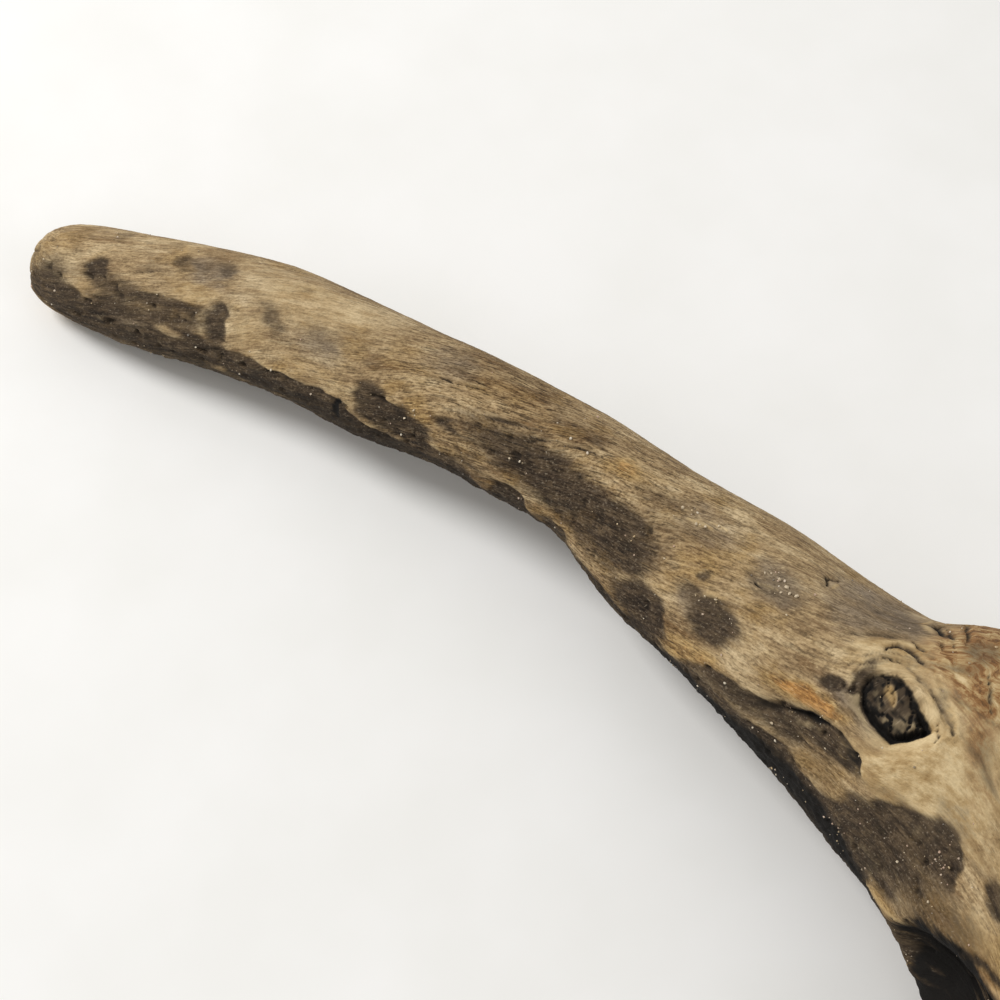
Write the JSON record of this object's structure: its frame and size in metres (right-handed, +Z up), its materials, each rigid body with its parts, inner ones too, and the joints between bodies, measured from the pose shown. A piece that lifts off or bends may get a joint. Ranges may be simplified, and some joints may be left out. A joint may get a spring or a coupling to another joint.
{
  "type": "piece of driftwood",
  "caption": "Sea-worn driftwood limb lying down: a rounded tip, a gentle bend with a dead knot and a burl, and a thicker trunk with a rotted hollow and a broken end.",
  "frame": {"origin": "middle of the underside of the bounding box, on the surface the wood lies on", "axes": "+X along the piece's length, from the worn tip (-X) to the broken end (+X); +Z up"},
  "size_m": [0.291, 0.094, 0.0455],
  "materials": {
    "weathered_wood": "bare sea-worn wood, silky fibres, dry and dull, with dark stains"
  },
  "bodies": {
    "root": {"driftwood": "weathered_wood"}
  },
  "joints": []
}
